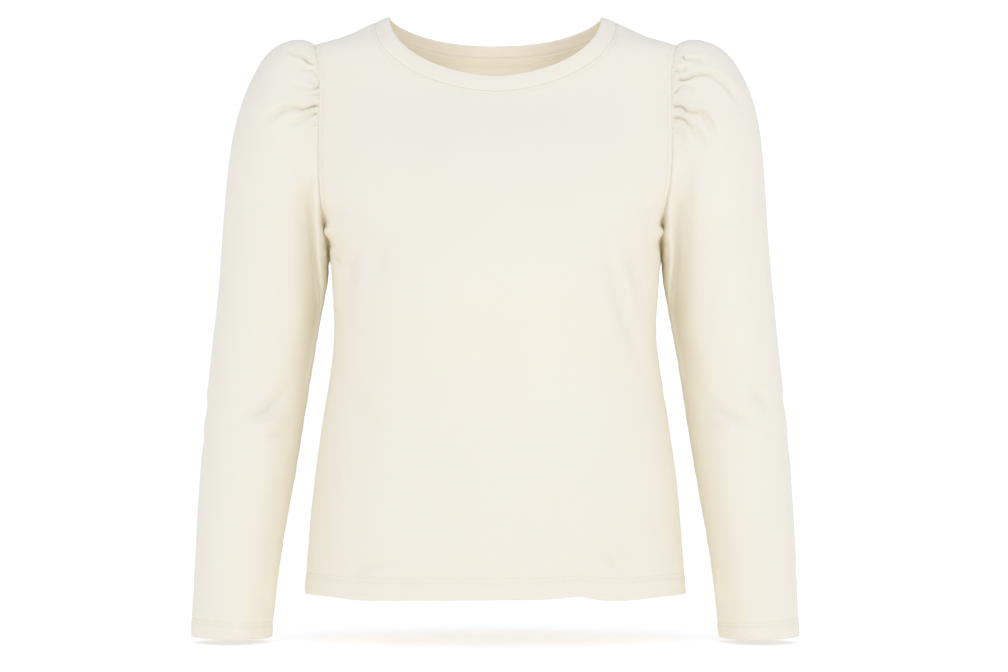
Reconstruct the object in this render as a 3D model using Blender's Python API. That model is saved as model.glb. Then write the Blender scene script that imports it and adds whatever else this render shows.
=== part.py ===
"""A long-sleeved, round-necked sweatshirt with gathered puff sleeve heads.

It is filled out as if worn, hollow, and open at neck, hem and cuffs. Metres, +Z up, front facing -Y.
The origin is level with the highest points of the neckband, midway between them, in the plane of the
shoulder and side seams. A "drop" is a distance below that level.
"""
import math
from collections import namedtuple

import bmesh
import bpy
import numpy as np

# Cloth
PANEL_WALL = 0.0015
BAND_WALL = 0.0021
TAPE_WALL = 0.0010
SEAM_GAP = 0.0003
ARMHOLE_GAP = 0.0004

# Levels on the body, as drops
NECK_SIDE = 0.0060
SHOULDER_TIP = 0.0294
UNDERARM = 0.2520
HEM = 0.5920

# Panel grids: columns under half the neckline and under one shoulder, rows beside the side seam and
# beside the armhole
NECK_COLUMNS = 8
SHOULDER_COLUMNS = 4
SIDE_ROWS = 6
ARMHOLE_ROWS = 11

# Neck opening: the band runs from its seam (inset 0) to its free edge (inset 1)
Neck = namedtuple("Neck", "half_width side front_drop back_drop")
BAND_SEAM = Neck(half_width=0.1241, side=NECK_SIDE, front_drop=0.0813, back_drop=0.0416)
BAND_EDGE = Neck(half_width=0.1086, side=0.0000, front_drop=0.0654, back_drop=0.0258)
NECK_CURVE = {"front": (1.8, 2.0), "back": (2.2, 1.4)}

# The tape covers the back neck seam by this much above and below, this far under the outside of the
# cloth, and stops this share of a column short of the shoulder seams
TAPE_HALF = 0.0048
TAPE_DEPTH = 0.0028
TAPE_SHORT = 0.40

# Half the body's width, seen from the front. Between the shoulder tip and the underarm the form runs on
# under the sleeve, and the armhole is cut out of it.
Outline = namedtuple("Outline", "drop half_width")
BODY_OUTLINE = (
    Outline(0.0000, 0.1086),
    Outline(0.0060, 0.1241),
    Outline(0.0153, 0.1442),
    Outline(0.0211, 0.1583),
    Outline(0.0294, 0.1860),
    Outline(0.0400, 0.2030),
    Outline(0.0600, 0.2105),
    Outline(0.1000, 0.2110),
    Outline(0.1500, 0.2070),
    Outline(0.1900, 0.1950),
    Outline(0.2150, 0.1820),
    Outline(0.2350, 0.1740),
    Outline(0.2520, 0.1705),
    Outline(0.2900, 0.1688),
    Outline(0.3250, 0.1665),
    Outline(0.3600, 0.1686),
    Outline(0.4050, 0.1756),
    Outline(0.4500, 0.1826),
    Outline(0.5000, 0.1884),
    Outline(0.5500, 0.1926),
    Outline(0.5920, 0.1957),
)

# How far the cloth stands in front of and behind the side seams, and how square the section is
# (2 is an ellipse)
Depth = namedtuple("Depth", "drop front back squareness")
BODY_DEPTH = (
    Depth(0.0000, 0.0360, 0.0340, 2.00),
    Depth(0.0300, 0.0490, 0.0460, 2.00),
    Depth(0.0660, 0.0615, 0.0640, 2.05),
    Depth(0.0850, 0.0680, 0.0730, 2.10),
    Depth(0.1200, 0.0850, 0.0870, 2.15),
    Depth(0.1700, 0.1050, 0.0995, 2.20),
    Depth(0.2200, 0.1160, 0.1018, 2.20),
    Depth(0.2600, 0.1175, 0.0985, 2.25),
    Depth(0.3200, 0.1110, 0.0902, 2.30),
    Depth(0.3800, 0.1045, 0.0865, 2.30),
    Depth(0.4500, 0.1045, 0.0920, 2.30),
    Depth(0.5200, 0.1080, 0.1015, 2.30),
    Depth(0.5920, 0.1110, 0.1070, 2.30),
)

# The armhole seam, seen from the front
Armhole = namedtuple("Armhole", "drop half_width")
ARMHOLE = (
    Armhole(0.0294, 0.1860),
    Armhole(0.0480, 0.1812),
    Armhole(0.0650, 0.1798),
    Armhole(0.1000, 0.1795),
    Armhole(0.1500, 0.1790),
    Armhole(0.1900, 0.1772),
    Armhole(0.2150, 0.1740),
    Armhole(0.2350, 0.1712),
    Armhole(0.2520, 0.1705),
)

# Sections of the sleeve, fanned out about the underarm. Each joins an outer point to an inner point,
# given by distance from the middle plane and drop, and reaches forward and back of its own line, which
# leans forward down the arm.
Section = namedtuple("Section", "outer outer_drop inner inner_drop front back lean")
SLEEVE = (
    Section(0.1864, 0.0294, 0.1715, 0.2520, 0.0570, 0.0550, 0.000),
    Section(0.1936, 0.0250, 0.1742, 0.2532, 0.0600, 0.0580, 0.000),
    Section(0.2019, 0.0234, 0.1748, 0.2550, 0.0625, 0.0600, 0.000),
    Section(0.2132, 0.0247, 0.1750, 0.2572, 0.0640, 0.0620, 0.000),
    Section(0.2263, 0.0299, 0.1750, 0.2602, 0.0640, 0.0620, 0.000),
    Section(0.2485, 0.0547, 0.1746, 0.2690, 0.0620, 0.0605, -0.001),
    Section(0.2655, 0.0971, 0.1744, 0.2830, 0.0580, 0.0580, -0.003),
    Section(0.2756, 0.1610, 0.1776, 0.3080, 0.0535, 0.0545, -0.005),
    Section(0.2820, 0.2505, 0.1848, 0.3470, 0.0500, 0.0510, -0.007),
    Section(0.2867, 0.3039, 0.1906, 0.3810, 0.0485, 0.0495, -0.008),
    Section(0.2931, 0.3645, 0.1971, 0.4251, 0.0465, 0.0475, -0.010),
    Section(0.3035, 0.4893, 0.2119, 0.5180, 0.0410, 0.0410, -0.020),
    Section(0.3064, 0.5574, 0.2206, 0.5707, 0.0365, 0.0365, -0.027),
    Section(0.3098, 0.6343, 0.2278, 0.6364, 0.0325, 0.0325, -0.034),
)
SLEEVE_SHARE = (0.0, 0.012, 0.024, 0.038, 0.054, 0.074, 0.098, 0.135, 0.19, 0.26, 0.35, 0.45, 0.56, 0.68,
                0.80, 0.91, 1.0)
HEAD_MERGE = 0.045
# One head stands a little fuller than the other, most of all this far down the sleeve
HEAD_FULLNESS = {"sleeve_l": 0.0025, "sleeve_r": -0.0025}
FULLEST, FULLNESS_REACH = 0.050, 0.055

# Columns round the sleeve: angles from the top of its head, forward, and the same behind
HEAD_ANGLES = (0, 8, 14, 20, 26, 32, 38, 44, 50, 56, 62, 68, 75, 84, 96, 110, 125, 142, 160)

# Gathers of the sleeve head: a fold leaves the armhole at one angle round it (plus in front, minus
# behind) and dies out at another, a distance along the sleeve. Depth is how far its trough sinks. They
# are flat in the seam and full this far from it; the head is about this far across from its middle.
GATHER_START = 0.006
HEAD_RADIUS = 0.105
Gather = namedtuple("Gather", "begins ends reach width depth")
GATHERS = {
    "sleeve_l": (
        Gather(26, 22, 0.045, 0.009, 0.0035),
        Gather(44, 30, 0.080, 0.010, 0.0050),
        Gather(62, 60, 0.065, 0.010, 0.0050),
        Gather(78, 86, 0.065, 0.010, 0.0050),
        Gather(-26, -20, 0.055, 0.010, 0.0045),
        Gather(-44, -38, 0.070, 0.010, 0.0050),
        Gather(-60, -58, 0.050, 0.009, 0.0040),
        Gather(-76, -82, 0.065, 0.010, 0.0045),
    ),
    "sleeve_r": (
        Gather(22, 18, 0.045, 0.010, 0.0045),
        Gather(42, 38, 0.050, 0.009, 0.0035),
        Gather(60, 58, 0.075, 0.010, 0.0055),
        Gather(76, 80, 0.055, 0.010, 0.0040),
        Gather(-30, -24, 0.065, 0.010, 0.0050),
        Gather(-48, -44, 0.050, 0.009, 0.0040),
        Gather(-64, -64, 0.070, 0.010, 0.0050),
        Gather(-80, -88, 0.055, 0.010, 0.0040),
    ),
}

CREAM = (0.86, 0.82, 0.73)
TAPE_CREAM = (0.80, 0.75, 0.66)

# Fineness of the curves before they are cut into columns, and the step that slopes are measured over
CURVE_POINTS = 1201
STEP = 0.001


def spline(knots, values, at):
    """The natural cubic curve through the values at the knots."""
    knots, values = np.asarray(knots, float), np.asarray(values, float)
    last = len(knots) - 1
    step = np.diff(knots)
    system, right = np.eye(last + 1), np.zeros(last + 1)
    for i in range(1, last):
        system[i, i - 1:i + 2] = step[i - 1], 2 * (step[i - 1] + step[i]), step[i]
        right[i] = 6 * ((values[i + 1] - values[i]) / step[i] - (values[i] - values[i - 1]) / step[i - 1])
    bend = np.linalg.solve(system, right)
    i = np.clip(np.searchsorted(knots, at) - 1, 0, last - 1)
    past = at - knots[i]
    slope = (values[i + 1] - values[i]) / step[i] - step[i] * (2 * bend[i] + bend[i + 1]) / 6
    return values[i] + past * (slope + past * (bend[i] / 2 + past * (bend[i + 1] - bend[i]) / (6 * step[i])))


def column(rows, name, at):
    """One column of a table of drops, read between its rows."""
    return spline([row.drop for row in rows], [getattr(row, name) for row in rows], at)


def body(turn, drop, side):
    """Points of the body form. turn is 0 at the middle of the side and a right angle at its seams."""
    power = 2.0 / column(BODY_DEPTH, "squareness", drop)
    width = column(BODY_OUTLINE, "half_width", drop)
    depth = column(BODY_DEPTH, side, drop)
    away = -1.0 if side == "front" else 1.0
    x = width * np.sign(np.sin(turn)) * np.abs(np.sin(turn)) ** power
    y = away * depth * np.sign(np.cos(turn)) * np.abs(np.cos(turn)) ** power
    return np.stack([x, y, -drop], axis=-1)


def unit(vectors):
    return vectors / np.linalg.norm(vectors, axis=-1, keepdims=True)


def body_normal(turn, drop, side):
    """Outward directions on the body form. At a seam they lie in the seams' plane."""
    across = body(turn + STEP, drop, side) - body(turn - STEP, drop, side)
    down = body(turn, drop + STEP / 10, side) - body(turn, drop - STEP / 10, side)
    at_seam = np.abs(np.cos(turn)) < 1e-6
    away = -1.0 if side == "front" else 1.0
    across[at_seam] = np.array([0.0, -away, 0.0]) * np.sign(turn[at_seam])[:, None]
    down[at_seam, 1] = 0.0
    return unit(np.cross(across, down)) * away


def turn_at(x, drop):
    """The turn at which the body form reaches a distance from the middle plane."""
    share = np.clip(np.abs(x) / column(BODY_OUTLINE, "half_width", drop), 0.0, 1.0)
    return np.sign(x) * np.arcsin(share ** (column(BODY_DEPTH, "squareness", drop) / 2.0))


def evenly(turn, drop, side, count):
    """Turns and drops at equal distances along a curve on the body form."""
    points = body(turn, drop, side)
    along = np.concatenate(([0.0], np.cumsum(np.linalg.norm(np.diff(points, axis=0), axis=-1))))
    at = np.linspace(0.0, along[-1], count)
    return np.interp(at, along, turn), np.interp(at, along, drop)


def neck_curve(inset, side, count, grow=0.0):
    """Turns and drops along the neck opening, from one shoulder to the other."""
    seam, edge = np.array(BAND_SEAM), np.array(BAND_EDGE)
    neck = Neck(*(seam + (edge - seam) * inset))
    half_width = neck.half_width + grow
    low = (neck.front_drop if side == "front" else neck.back_drop) + grow
    high = neck.side + grow / 2
    spread, flatness = NECK_CURVE[side]
    share = np.linspace(-1.0, 1.0, CURVE_POINTS)
    x = half_width * np.sign(share) * np.cos((1.0 - np.abs(share)) ** 2 * math.pi / 2)
    inside = np.clip(1.0 - np.abs(x / half_width) ** spread, 0.0, 1.0)
    drop = high + (low - high) * inside ** (1.0 / flatness)
    return evenly(turn_at(x, drop), drop, side, count)


def armhole_curve(side, count):
    """Turns and drops up the armhole seam, from the underarm to the shoulder tip."""
    share = np.linspace(0.0, math.pi, CURVE_POINTS)
    drop = SHOULDER_TIP + (UNDERARM - SHOULDER_TIP) * (1.0 + np.cos(share)) / 2
    turn = turn_at(column(ARMHOLE, "half_width", drop), drop)
    turn[0] = turn[-1] = math.pi / 2
    return evenly(turn, drop, side, count)


def panel_top(side):
    """Half a panel's top, from the middle: distances from the middle plane, and drops."""
    turn, drop = neck_curve(0.0, side, 2 * NECK_COLUMNS + 1, grow=SEAM_GAP)
    turn, drop = turn[NECK_COLUMNS:], drop[NECK_COLUMNS:]
    shoulder = np.linspace(drop[-1], SHOULDER_TIP, CURVE_POINTS)
    seam_turn, seam_drop = evenly(np.full(CURVE_POINTS, math.pi / 2), shoulder, side, SHOULDER_COLUMNS + 1)
    turn, drop = np.append(turn, seam_turn[1:]), np.append(drop, seam_drop[1:])
    return body(turn, drop, side)[:, 0], drop


def panel_grid(side):
    """Turns and drops of a whole panel, rows from the hem up to the neckline and shoulder seams."""
    columns = NECK_COLUMNS + SHOULDER_COLUMNS
    across = np.linspace(0.0, 1.0, columns + 1)
    top_x, top_drop = panel_top(side)
    side_drop = np.linspace(HEM, UNDERARM, SIDE_ROWS + 1)[:-1, None]
    squareness = column(BODY_DEPTH, "squareness", side_drop)
    spread = np.sin(across * math.pi / 2) ** (2.0 / squareness)
    low_x = column(BODY_OUTLINE, "half_width", side_drop) * spread
    low_drop = np.repeat(side_drop, columns + 1, axis=1)
    arm_turn, arm_drop = armhole_curve(side, ARMHOLE_ROWS + 1)
    arm_x = body(arm_turn, arm_drop, side)[:, 0]
    climb = np.linspace(0.0, 1.0, ARMHOLE_ROWS + 1)[:, None]
    share = spread[-1] + (top_x / top_x[-1] - spread[-1]) * climb
    high_x = share * arm_x[:, None]
    arm_climb = ((UNDERARM - arm_drop) / (UNDERARM - SHOULDER_TIP))[:, None]
    likeness = np.clip(across * columns / NECK_COLUMNS, 0.0, 1.0) ** 2
    rise = climb + (arm_climb - climb) * likeness
    high_drop = UNDERARM + (top_drop - UNDERARM) * rise
    x, drop = np.concatenate([low_x, high_x]), np.concatenate([low_drop, high_drop])
    turn = turn_at(x, drop)
    turn[:SIDE_ROWS + 1, -1] = turn[-1, NECK_COLUMNS:] = math.pi / 2
    return np.hstack([-turn[:, :0:-1], turn]), np.hstack([drop[:, :0:-1], drop])


def add_piece(name, outer, inner, material, parent, ring=False):
    """A closed wall between two grids of points. A ring's rows close on themselves."""
    rows, columns = outer.shape[:2]
    mesh = bpy.data.meshes.new(name)
    bm = bmesh.new()
    skins = [[[bm.verts.new(point) for point in row] for row in grid] for grid in (outer, inner)]
    wrap = columns if ring else columns - 1
    for skin in skins:
        for j in range(rows - 1):
            for i in range(wrap):
                k = (i + 1) % columns
                bm.faces.new((skin[j][i], skin[j][k], skin[j + 1][k], skin[j + 1][i]))
    first, second = skins
    for j in (0, rows - 1):
        for i in range(wrap):
            k = (i + 1) % columns
            bm.faces.new((first[j][i], first[j][k], second[j][k], second[j][i]))
    if not ring:
        for i in (0, columns - 1):
            for j in range(rows - 1):
                bm.faces.new((first[j][i], first[j + 1][i], second[j + 1][i], second[j][i]))
    bmesh.ops.recalc_face_normals(bm, faces=bm.faces)
    bm.to_mesh(mesh)
    bm.free()
    mesh.shade_smooth()
    mesh.set_sharp_from_angle(angle=math.radians(50))
    mesh.materials.append(material)
    piece = bpy.data.objects.new(name, mesh)
    parent.users_collection[0].objects.link(piece)
    piece.parent = parent
    return piece


def add_panel(side, material, parent):
    turn, drop = panel_grid(side)
    outer = body(turn, drop, side)
    inner = outer - PANEL_WALL * body_normal(turn, drop, side)
    half_gap = SEAM_GAP / 2 * (-1.0 if side == "front" else 1.0)
    for skin in (outer, inner):
        skin[..., 1] += half_gap
    return add_piece(side, outer, inner, material, parent)


def neck_ring(inset, depth):
    """A closed loop of points round the neck opening, some way under the outside of the cloth."""
    halves = []
    for side, forward in (("front", True), ("back", False)):
        turn, drop = neck_curve(inset, side, 2 * NECK_COLUMNS + 1)
        points = body(turn, drop, side) - depth * body_normal(turn, drop, side)
        halves.append(points[:-1] if forward else points[:0:-1])
    return np.concatenate(halves)


def add_neckband(material, parent):
    insets = (0.0, 0.5, 1.0)
    outer = np.stack([neck_ring(inset, 0.0) for inset in insets])
    inner = np.stack([neck_ring(inset, BAND_WALL) for inset in insets])
    return add_piece("neckband", outer, inner, material, parent, ring=True)


def toward(start, end, share, depth):
    """Points on the way between two rows (turns, drops, side), some depth under the cloth's outside."""
    places = [body(*row) - depth * body_normal(*row) for row in (start, end)]
    return places[0] + (places[1] - places[0]) * share


def add_neck_tape(material, parent):
    """The tape lies inside the back neck seam, on the facets of the band and the panel."""
    turn, drop = panel_grid("back")
    neckline = slice(SHOULDER_COLUMNS, SHOULDER_COLUMNS + 2 * NECK_COLUMNS + 1)
    seam, below = ((turn[row, neckline], drop[row, neckline], "back") for row in (-1, -2))
    above = (*neck_curve(0.5, "back", 2 * NECK_COLUMNS + 1), "back")
    skins = []
    for depth in (TAPE_DEPTH, TAPE_DEPTH + TAPE_WALL):
        rows = []
        for other in (below, seam, above):
            height = np.linalg.norm(body(*other) - body(*seam), axis=-1)[:, None]
            rows.append(toward(seam, other, TAPE_HALF / np.maximum(height, TAPE_HALF), depth))
        skins.append(np.stack(rows))
    for skin in skins:
        for end, beside in ((0, 1), (-1, -2)):
            skin[:, end] += (skin[:, beside] - skin[:, end]) * TAPE_SHORT
    return add_piece("neck_tape", *skins, material, parent)


def armhole_edge():
    """The armhole of the two panels as they are cut: for each, drops with their places."""
    edges = {}
    for side in ("front", "back"):
        turn, drop = armhole_curve(side, ARMHOLE_ROWS + 1)
        edges[side] = drop[::-1], body(turn, drop, side)[::-1]
    return edges


def section_lengths():
    """Distances down the sleeve, along the middles of its sections."""
    table = Section(*np.array(SLEEVE).T)
    middles = (table.outer + table.inner) / 2, (table.outer_drop + table.inner_drop) / 2, table.lean
    steps = np.linalg.norm(np.diff(np.stack(middles)), axis=0)
    return np.concatenate(([0.0], np.cumsum(steps)))


def sleeve_section(angle, along, fullness):
    """Points of the sleeve's plain sections, for the +X side."""
    row = Section(*(spline(section_lengths(), values, along) for values in np.array(SLEEVE).T))
    outer = row.outer + fullness * np.exp(-((along - FULLEST) / FULLNESS_REACH) ** 2)
    cos, sin = np.cos(angle), np.sin(angle)
    reach = np.where(sin > 0, row.front, row.back)
    x = (outer + row.inner) / 2 + (outer - row.inner) / 2 * cos
    drop = (row.outer_drop + row.inner_drop) / 2 + (row.outer_drop - row.inner_drop) / 2 * cos
    return np.stack([x, row.lean - reach * sin, -drop], axis=-1)


def sleeve_point(angle, along, edges, fullness):
    """Points of the sleeve, which starts on the armhole and soon takes its own sections.

    angle is 0 at the top of the head, plus in front and minus behind.
    """
    seam_drop = SHOULDER_TIP + (UNDERARM - SHOULDER_TIP) * (1.0 - np.cos(angle)) / 2
    seam = {}
    for side, (drops, places) in edges.items():
        seam[side] = np.stack([np.interp(seam_drop, drops, places[:, axis]) for axis in range(3)], axis=-1)
    seam = np.where((np.sin(angle) > 0)[..., None], seam["front"], seam["back"])
    seam += ARMHOLE_GAP * np.stack([np.ones_like(angle), np.sin(angle), -np.cos(angle)], axis=-1)
    merge = np.clip(along / HEAD_MERGE, 0.0, 1.0)
    merge = (merge * merge * (3.0 - 2.0 * merge))[..., None]
    start = sleeve_section(angle, np.zeros_like(along), fullness)
    return sleeve_section(angle, along, fullness) + (seam - start) * (1.0 - merge)


def gather_sink(angle, along, gathers):
    """How far the gathers sink the cloth, and lift it between them."""
    sink = np.zeros_like(along)
    degrees = np.degrees(angle)
    for gather in gathers:
        share = np.clip(along / gather.reach, 0.0, 1.0)
        line = gather.begins + (gather.ends - gather.begins) * share
        aside = np.radians(degrees - line) * HEAD_RADIUS
        start = np.clip(along / GATHER_START, 0.0, 1.0)
        strength = gather.depth * start * (1.0 - share ** 2) ** 1.5
        near = (aside / gather.width) ** 2
        sink += strength * (1.6 * np.exp(-near) - 0.6 * np.exp(-near / 3.0))
    return sink


def sleeve_surface(name, angle, along):
    """The sleeve's outside with its gathers, and the directions out of its plain form."""
    form = (armhole_edge(), HEAD_FULLNESS[name])
    point = sleeve_point(angle, along, *form)
    around = sleeve_point(angle + STEP, along, *form) - sleeve_point(angle - STEP, along, *form)
    before = np.maximum(along - STEP, 0.0)
    down = sleeve_point(angle, along + STEP, *form) - sleeve_point(angle, before, *form)
    normal = unit(np.cross(around, down))
    sink = gather_sink(angle, along, GATHERS[name])
    return point - sink[..., None] * normal, normal


def add_sleeve(name, hand, material, parent):
    """A sleeve; hand is +1 for the wearer's left, which is at +X."""
    degrees = np.array([-a for a in HEAD_ANGLES[:0:-1]] + list(HEAD_ANGLES) + [180])
    along, angle = np.meshgrid(
        np.array(SLEEVE_SHARE) * section_lengths()[-1], np.radians(degrees.astype(float)), indexing="ij")
    outer, normal = sleeve_surface(name, angle, along)
    inner = outer - PANEL_WALL * normal
    for skin in (outer, inner):
        skin[..., 0] *= hand
    return add_piece(name, outer, inner, material, parent, ring=True)


def cloth_material(name, colour, roughness):
    material = bpy.data.materials.new(name)
    material.use_nodes = True
    shader = material.node_tree.nodes["Principled BSDF"]
    shader.inputs["Base Color"].default_value = (*colour, 1.0)
    shader.inputs["Roughness"].default_value = roughness
    shader.inputs["Metallic"].default_value = 0.0
    return material


def main():
    for thing in list(bpy.data.objects):
        bpy.data.objects.remove(thing, do_unlink=True)
    collection = bpy.data.collections.new("Puff-sleeve sweatshirt")
    bpy.context.scene.collection.children.link(collection)
    shoulders = bpy.data.objects.new("shoulders", None)
    collection.objects.link(shoulders)
    for side in ("front", "back"):
        add_panel(side, cloth_material(f"{side} knit", CREAM, 0.9), shoulders)
    add_sleeve("sleeve_l", 1.0, cloth_material("left sleeve knit", CREAM, 0.9), shoulders)
    add_sleeve("sleeve_r", -1.0, cloth_material("right sleeve knit", CREAM, 0.9), shoulders)
    add_neckband(cloth_material("neckband knit", CREAM, 0.9), shoulders)
    add_neck_tape(cloth_material("neck tape", TAPE_CREAM, 0.85), shoulders)


main()
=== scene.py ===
"""The looks of a cream puff-sleeve sweatshirt, laid over its CAD model.

Metres, +Z up, front facing -Y. A "drop" is a distance below the top of the neckband. The cloth's plain
form is the same as the CAD model's; this script adds its seams, hems, gathers and folds, its stitching
and its knit.
"""
import math
from collections import namedtuple

import bmesh
import bpy
import numpy as np
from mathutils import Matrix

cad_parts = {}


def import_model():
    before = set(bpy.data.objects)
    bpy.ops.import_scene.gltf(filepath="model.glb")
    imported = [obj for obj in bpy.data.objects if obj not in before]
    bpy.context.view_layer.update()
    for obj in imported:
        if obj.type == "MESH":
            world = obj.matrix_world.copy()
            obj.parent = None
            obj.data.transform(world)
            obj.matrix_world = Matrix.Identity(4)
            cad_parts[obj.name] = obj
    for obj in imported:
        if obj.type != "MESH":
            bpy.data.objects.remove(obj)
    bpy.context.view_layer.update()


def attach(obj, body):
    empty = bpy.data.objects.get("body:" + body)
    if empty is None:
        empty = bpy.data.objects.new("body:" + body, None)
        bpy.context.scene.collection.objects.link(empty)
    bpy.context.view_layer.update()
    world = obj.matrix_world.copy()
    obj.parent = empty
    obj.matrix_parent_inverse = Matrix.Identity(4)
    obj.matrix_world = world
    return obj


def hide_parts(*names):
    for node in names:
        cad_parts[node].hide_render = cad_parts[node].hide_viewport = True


def table(names, *rows):
    """Rows of numbers, kept as one array for each named column."""
    return namedtuple("Table", names)(*np.array(rows, float).T)


# ---------------------------------------------------------------- sizes of the plain form
NECK_SIDE = 0.0060
SHOULDER_TIP = 0.0294
UNDERARM = 0.2520
HEM = 0.5920

# The neckband, from its seam to its free edge; the curve's spread and flatness on each side
Neck = namedtuple("Neck", "half_width side front_drop back_drop")
BAND_SEAM = Neck(half_width=0.1241, side=NECK_SIDE, front_drop=0.0813, back_drop=0.0416)
BAND_EDGE = Neck(half_width=0.1086, side=0.0000, front_drop=0.0654, back_drop=0.0258)
NECK_CURVE = {"front": (1.8, 2.0), "back": (2.2, 1.4)}
BAND_WIDTH = 0.0157

BODY_OUTLINE = table(
    "drop half_width",
    (0.0000, 0.1086), (0.0060, 0.1241), (0.0153, 0.1442), (0.0211, 0.1583), (0.0294, 0.1860),
    (0.0400, 0.2030), (0.0600, 0.2105), (0.1000, 0.2110), (0.1500, 0.2070), (0.1900, 0.1950),
    (0.2150, 0.1820), (0.2350, 0.1740), (0.2520, 0.1705), (0.2900, 0.1688), (0.3250, 0.1665),
    (0.3600, 0.1686), (0.4050, 0.1756), (0.4500, 0.1826), (0.5000, 0.1884), (0.5500, 0.1926),
    (0.5920, 0.1957),
)
BODY_DEPTH = table(
    "drop front back squareness",
    (0.0000, 0.0360, 0.0340, 2.00), (0.0300, 0.0490, 0.0460, 2.00), (0.0660, 0.0615, 0.0640, 2.05),
    (0.0850, 0.0680, 0.0730, 2.10), (0.1200, 0.0850, 0.0870, 2.15), (0.1700, 0.1050, 0.0995, 2.20),
    (0.2200, 0.1160, 0.1018, 2.20), (0.2600, 0.1175, 0.0985, 2.25), (0.3200, 0.1110, 0.0902, 2.30),
    (0.3800, 0.1045, 0.0865, 2.30), (0.4500, 0.1045, 0.0920, 2.30), (0.5200, 0.1080, 0.1015, 2.30),
    (0.5920, 0.1110, 0.1070, 2.30),
)
ARMHOLE = table(
    "drop half_width",
    (0.0294, 0.1860), (0.0480, 0.1812), (0.0650, 0.1798), (0.1000, 0.1795), (0.1500, 0.1790),
    (0.1900, 0.1772), (0.2150, 0.1740), (0.2350, 0.1712), (0.2520, 0.1705),
)
SLEEVE = table(
    "outer outer_drop inner inner_drop front back lean",
    (0.1864, 0.0294, 0.1715, 0.2520, 0.0570, 0.0550, 0.000),
    (0.1936, 0.0250, 0.1742, 0.2532, 0.0600, 0.0580, 0.000),
    (0.2019, 0.0234, 0.1748, 0.2550, 0.0625, 0.0600, 0.000),
    (0.2132, 0.0247, 0.1750, 0.2572, 0.0640, 0.0620, 0.000),
    (0.2263, 0.0299, 0.1750, 0.2602, 0.0640, 0.0620, 0.000),
    (0.2485, 0.0547, 0.1746, 0.2690, 0.0620, 0.0605, -0.001),
    (0.2655, 0.0971, 0.1744, 0.2830, 0.0580, 0.0580, -0.003),
    (0.2756, 0.1610, 0.1776, 0.3080, 0.0535, 0.0545, -0.005),
    (0.2820, 0.2505, 0.1848, 0.3470, 0.0500, 0.0510, -0.007),
    (0.2867, 0.3039, 0.1906, 0.3810, 0.0485, 0.0495, -0.008),
    (0.2931, 0.3645, 0.1971, 0.4251, 0.0465, 0.0475, -0.010),
    (0.3035, 0.4893, 0.2119, 0.5180, 0.0410, 0.0410, -0.020),
    (0.3064, 0.5574, 0.2206, 0.5707, 0.0365, 0.0365, -0.027),
    (0.3098, 0.6343, 0.2278, 0.6364, 0.0325, 0.0325, -0.034),
)
HEAD_MERGE = 0.045          # how far down the sleeve the armhole's shape dies out
HEAD_FULLNESS = {"sleeve_l": 0.0025, "sleeve_r": -0.0025}
FULLEST, FULLNESS_REACH = 0.050, 0.055
STEP = 0.001                # for slopes
CURVE_POINTS = 1201
AWAY = {"front": -1.0, "back": 1.0}
HANDS = {"sleeve_l": np.array([1.0, 1.0, 1.0]), "sleeve_r": np.array([-1.0, 1.0, 1.0])}
RIGHT_ANGLE = math.pi / 2

# How many rows and columns of points each piece has, and how they crowd
NECK_COLUMNS, SHOULDER_COLUMNS, NECK_SHARE, SHOULDER_CROWDING = 46, 30, 2 / 3, 1.7
SIDE_ROWS, SIDE_START, CLIMB_ROWS, CLIMB_CROWDING = 66, 0.030, 140, 1.6
HEAD_ROWS, HEAD_LENGTH, HEAD_CROWDING, ARM_ROWS, CUFF_LENGTH = 72, 0.090, 1.25, 78, 0.026
HALF_RING, GATHERED_AT, GATHERED_SPREAD, GATHERED_CROWDING = 201, 1.08, 0.52, 1.7
INNER_SHARE = 4             # a sleeve's inner skin has one column for this many outside
RING_COLUMNS, TAPE_COLUMNS, TAPE_ROWS, STITCHED_POINTS = 140, 181, 31, 400

# ---------------------------------------------------------------- sizes of the making
KNIT_WALL = 0.0012          # one layer of the knit
HEM_WALL = 0.0013           # what a turned-up hem adds on the inside
BAND_WALL = 0.0021
TAPE_HALF, TAPE_DEPTH, TAPE_WALL = 0.0048, 0.0014, 0.0010
TAPE_LINES = 0.72           # where its stitching lies, as a share of its half width
TAPE_GROOVE, TAPE_GROOVE_SHARE = 0.0007, 0.12
EDGE_ROUND = 0.0009         # how far the cloth turns down into a seam
HEM_LINES = (0.0178, 0.0218)    # twin-needle lines above the edge of the hem
CUFF_LINES = (0.0138, 0.0178)   # and above the edge of a cuff
NECK_LINE, ARM_LINE = 0.0034, 0.0042    # how far the stitching lies from those seams
GROOVE, GROOVE_WIDTH = 0.00045, 0.0009
ARM_DIP = 0.22
DEEPEST_SINK = 0.0015
TUCK_WALL = 0.0010          # the seam allowance of a sleeve, and each row's reach and depth
TUCK = ((0.0060, 0.0024), (0.0030, 0.0023), (0.0012, 0.0021), (0.0003, 0.0016))

# Small unevenness beside seams and hems: how high, how long each ripple is and how far it reaches
Ripple = namedtuple("Ripple", "height pitch reach")
PANEL_RIPPLES = {"neck": Ripple(0.00025, 0.011, 0.006), "arm": Ripple(0.00045, 0.016, 0.010),
                 "flank": Ripple(0.00040, 0.028, 0.014), "shoulder": Ripple(0.00025, 0.015, 0.007)}
HEAD_RIPPLE, HEAD_TICK = Ripple(0.0007, 0.0095, 0.008), Ripple(0.0005, 0.0042, 0.0055)
UNDER_RIPPLE, SLEEVE_RIPPLE = Ripple(0.0004, 0.016, 0.010), Ripple(0.00035, 0.030, 0.010)
HEM_PUCKER, HEM_WAVE = Ripple(0.00030, 0.013, 0.009), Ripple(0.00080, 0.075, 0.030)
BAND_PUCKER = Ripple(0.00022, 0.012, 0.004)
HEM_FULLNESS, BAND_CROWN = 0.00035, 0.00045
UNEVENNESS, PANEL_PITCH, SLEEVE_PITCH = 0.0009, 0.150, 0.110
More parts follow.
